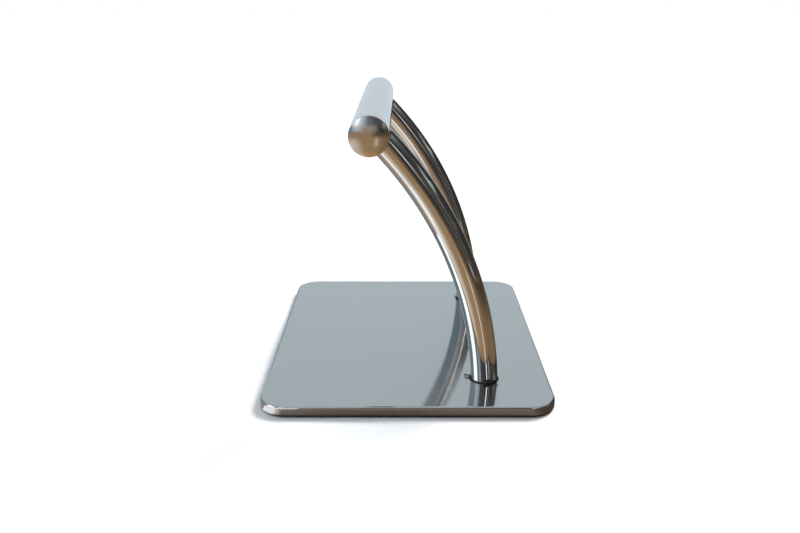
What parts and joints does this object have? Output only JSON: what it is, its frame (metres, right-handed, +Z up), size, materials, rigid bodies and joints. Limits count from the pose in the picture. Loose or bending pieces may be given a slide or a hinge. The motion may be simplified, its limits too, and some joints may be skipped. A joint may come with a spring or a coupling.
{
  "type": "salon footrest",
  "caption": "Free-standing footrest: a polished round foot bar on bent tube arms that rise from a heavy flat base plate with rubber feet.",
  "frame": {"origin": "on the floor under the middle of the base", "axes": "+Z up, +Y to the left along the foot bar, +X towards the back edge by which the arms stand; the arms lean towards -X, the front"},
  "size_m": [0.3, 0.4, 0.2982],
  "materials": {
    "satin_stainless": "satin",
    "polished_stainless": "polished",
    "cap_stainless": "satin",
    "weld_bead": "satin",
    "ballast_steel": "matte",
    "black_rubber": "matte",
    "zinc_steel": "satin"
  },
  "bodies": {
    "root": {"back_left_foot": "black_rubber", "back_right_foot": "black_rubber", "ballast_plate": "ballast_steel", "base_cover": "satin_stainless", "cover_tack_welds": "weld_bead", "foot_bar": "polished_stainless", "foot_screws": "zinc_steel", "foot_washers": "zinc_steel", "front_left_foot": "black_rubber", "front_right_foot": "black_rubber", "left_arm": "polished_stainless", "left_bar_weld": "polished_stainless", "left_collar_weld": "weld_bead", "left_end_cap": "cap_stainless", "left_root_weld": "weld_bead", "right_arm": "polished_stainless", "right_bar_weld": "polished_stainless", "right_collar_weld": "weld_bead", "right_end_cap": "cap_stainless", "right_root_weld": "weld_bead"}
  },
  "joints": []
}
